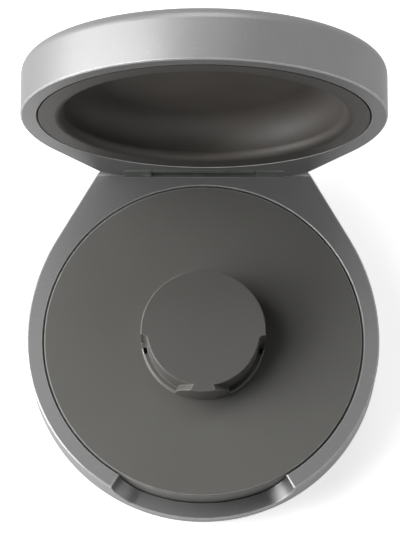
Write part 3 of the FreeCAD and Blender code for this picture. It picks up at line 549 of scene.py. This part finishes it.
liner_look = new_rubber("liner_rubber", LINER_DEEP, LINER_BLOOMED, rough=0.5, speck=0.1, gloss=0.5)
tree = liner_look.node_tree
surface = tree.nodes["Principled BSDF"].inputs
bowl_colour = surface["Base Color"].links[0].from_socket
reach = axis_distance(tree, flatten=(1.0, 0.0, 1.0), shift=(0.0, 0.0, -LID_MIDDLE_HEIGHT))
# The flat ring is mixed toward black: painted shade on the ring.
ring = remap(tree, reach, BOWL_EDGE, RING_EDGE, to_high=RING_PAINTED_SHADE)
feed(tree, surface["Base Color"], mix_colours(tree, ring, bowl_colour, BLACK))
dress(liner_look, "lid_liner")
bond_look = new_rubber("bond_film", BOND_DEEP, BOND_BLOOMED, rough=0.5, speck=0.0)
dress(bond_look, "liner_adhesive")

# Table and studio: a pale floor that runs out to white, two soft lamps low on the left, the
# nearer one towards the front, a third behind and above the hinge and a faint one high on the
# left. The world is white below a dark ceiling to rays that see it, and gives no other light.
FLOOR_SIZE = 8.0
FLOOR_DROP = 0.00005
FLOOR_GLOW = 0.75
PAPER_DARK = (0.79, 0.79, 0.79)
PAPER_LIGHT = (0.81, 0.81, 0.81)
PAPER_SCALE = 12.0
WHITE = (1.0, 1.0, 1.0, 1.0)
CEILING_STARTS = 0.7
CEILING_FULL = 0.95
PALETTE_MIDDLE = Vector((0.0, 0.01, 0.03))


def add_seen(tree):
    """One for rays from the camera, a mirror or glass, which see the backdrop."""
    path = tree.nodes.new("ShaderNodeLightPath").outputs
    mirrored = add_math(tree, "MAXIMUM", path["Is Camera Ray"], path["Is Glossy Ray"])
    return add_math(tree, "MAXIMUM", mirrored, path["Is Transmission Ray"])


bpy.ops.object.select_all(action="DESELECT")
bpy.ops.mesh.primitive_plane_add(size=FLOOR_SIZE, location=(0.0, 0.0, -FLOOR_DROP))
floor = bpy.context.active_object
floor.name = "table_floor"
floor_look = bpy.data.materials.new("pale_table")
floor_look.use_nodes = True
tree = floor_look.node_tree
tree.nodes.remove(tree.nodes["Principled BSDF"])
paper = mix_colours(tree, object_noise(tree, PAPER_SCALE, detail=3.0), PAPER_DARK, PAPER_LIGHT)
matte = add_node(tree, "ShaderNodeBsdfDiffuse", Color=paper)
glow = add_node(tree, "ShaderNodeEmission", Color=WHITE,
                Strength=add_math(tree, "MULTIPLY", add_seen(tree), FLOOR_GLOW))
both = tree.nodes.new("ShaderNodeAddShader")
feed(tree, both.inputs[0], matte.outputs["BSDF"])
feed(tree, both.inputs[1], glow.outputs["Emission"])
feed(tree, tree.nodes["Material Output"].inputs["Surface"], both.outputs["Shader"])
floor.data.materials.append(floor_look)

world = bpy.data.worlds.new("studio")
bpy.context.scene.world = world
world.use_nodes = True
tree = world.node_tree
looking = tree.nodes.new("ShaderNodeTexCoord").outputs["Generated"]
height = add_node(tree, "ShaderNodeSeparateXYZ", Vector=looking).outputs["Z"]
backdrop = remap(tree, height, CEILING_STARTS, CEILING_FULL, to_low=1.0, to_high=0.0)
background = tree.nodes["Background"].inputs
background["Color"].default_value = WHITE
feed(tree, background["Strength"], add_math(tree, "MULTIPLY", add_seen(tree), backdrop))


def add_softbox(name, towards, distance, width, height, power):
    """An area lamp that faces the palette."""
    lamp = bpy.data.lights.new(name, "AREA")
    lamp.shape = "RECTANGLE"
    lamp.size = width
    lamp.size_y = height
    lamp.energy = power
    holder = bpy.data.objects.new(name, lamp)
    bpy.context.scene.collection.objects.link(holder)
    way = Vector(towards).normalized()
    holder.location = PALETTE_MIDDLE + way * distance
    holder.rotation_euler = (-way).to_track_quat("-Z", "Y").to_euler()


add_softbox("key_left", towards=(-0.84, 0.14, 0.5), distance=0.8,
            width=0.6, height=1.1, power=7.2)
add_softbox("key_high", towards=(-0.5, 0.3, 0.8), distance=0.8,
            width=0.5, height=0.5, power=0.5)
add_softbox("key_front", towards=(-0.93, -0.28, 0.32), distance=0.4,
            width=0.286, height=0.286, power=1.045)
add_softbox("back_top", towards=(0.0, 0.6, 0.8), distance=1.0,
            width=0.7, height=0.5, power=2.9)

# Camera: almost straight above the notch, with the plate low in the frame, as in the photograph.
# Its place, lens and aim were fitted to the outlines of the plate, the hub and both shells.
PLATE_MIDDLE = Vector((0.0, 0.0, 0.0158))
VIEW_RISE = math.radians(75.95)
VIEW_DISTANCE = 0.9474
FOCAL_PIXELS = 3340.0
LONG_SIDE_PIXELS = 533.0
AIM_RIGHT_PIXELS = -3.5
AIM_UP_PIXELS = 73.1
SENSOR = 36.0

towards_camera = Vector((0.0, -math.cos(VIEW_RISE), math.sin(VIEW_RISE)))
picture_right = Vector((1.0, 0.0, 0.0))
picture_up = Vector((0.0, math.sin(VIEW_RISE), math.cos(VIEW_RISE)))
per_pixel = VIEW_DISTANCE / FOCAL_PIXELS
aim_shift = picture_right * AIM_RIGHT_PIXELS + picture_up * AIM_UP_PIXELS
aim = PLATE_MIDDLE + aim_shift * per_pixel
lens = bpy.data.cameras.new("photo_view")
lens.sensor_width = SENSOR
lens.lens = SENSOR * FOCAL_PIXELS / LONG_SIDE_PIXELS
camera = bpy.data.objects.new("photo_view", lens)
bpy.context.scene.collection.objects.link(camera)
camera.location = PLATE_MIDDLE + towards_camera * VIEW_DISTANCE
camera.rotation_euler = (aim - camera.location).to_track_quat("-Z", "Y").to_euler()
bpy.context.scene.camera = camera
bpy.context.scene.view_settings.view_transform = "Standard"
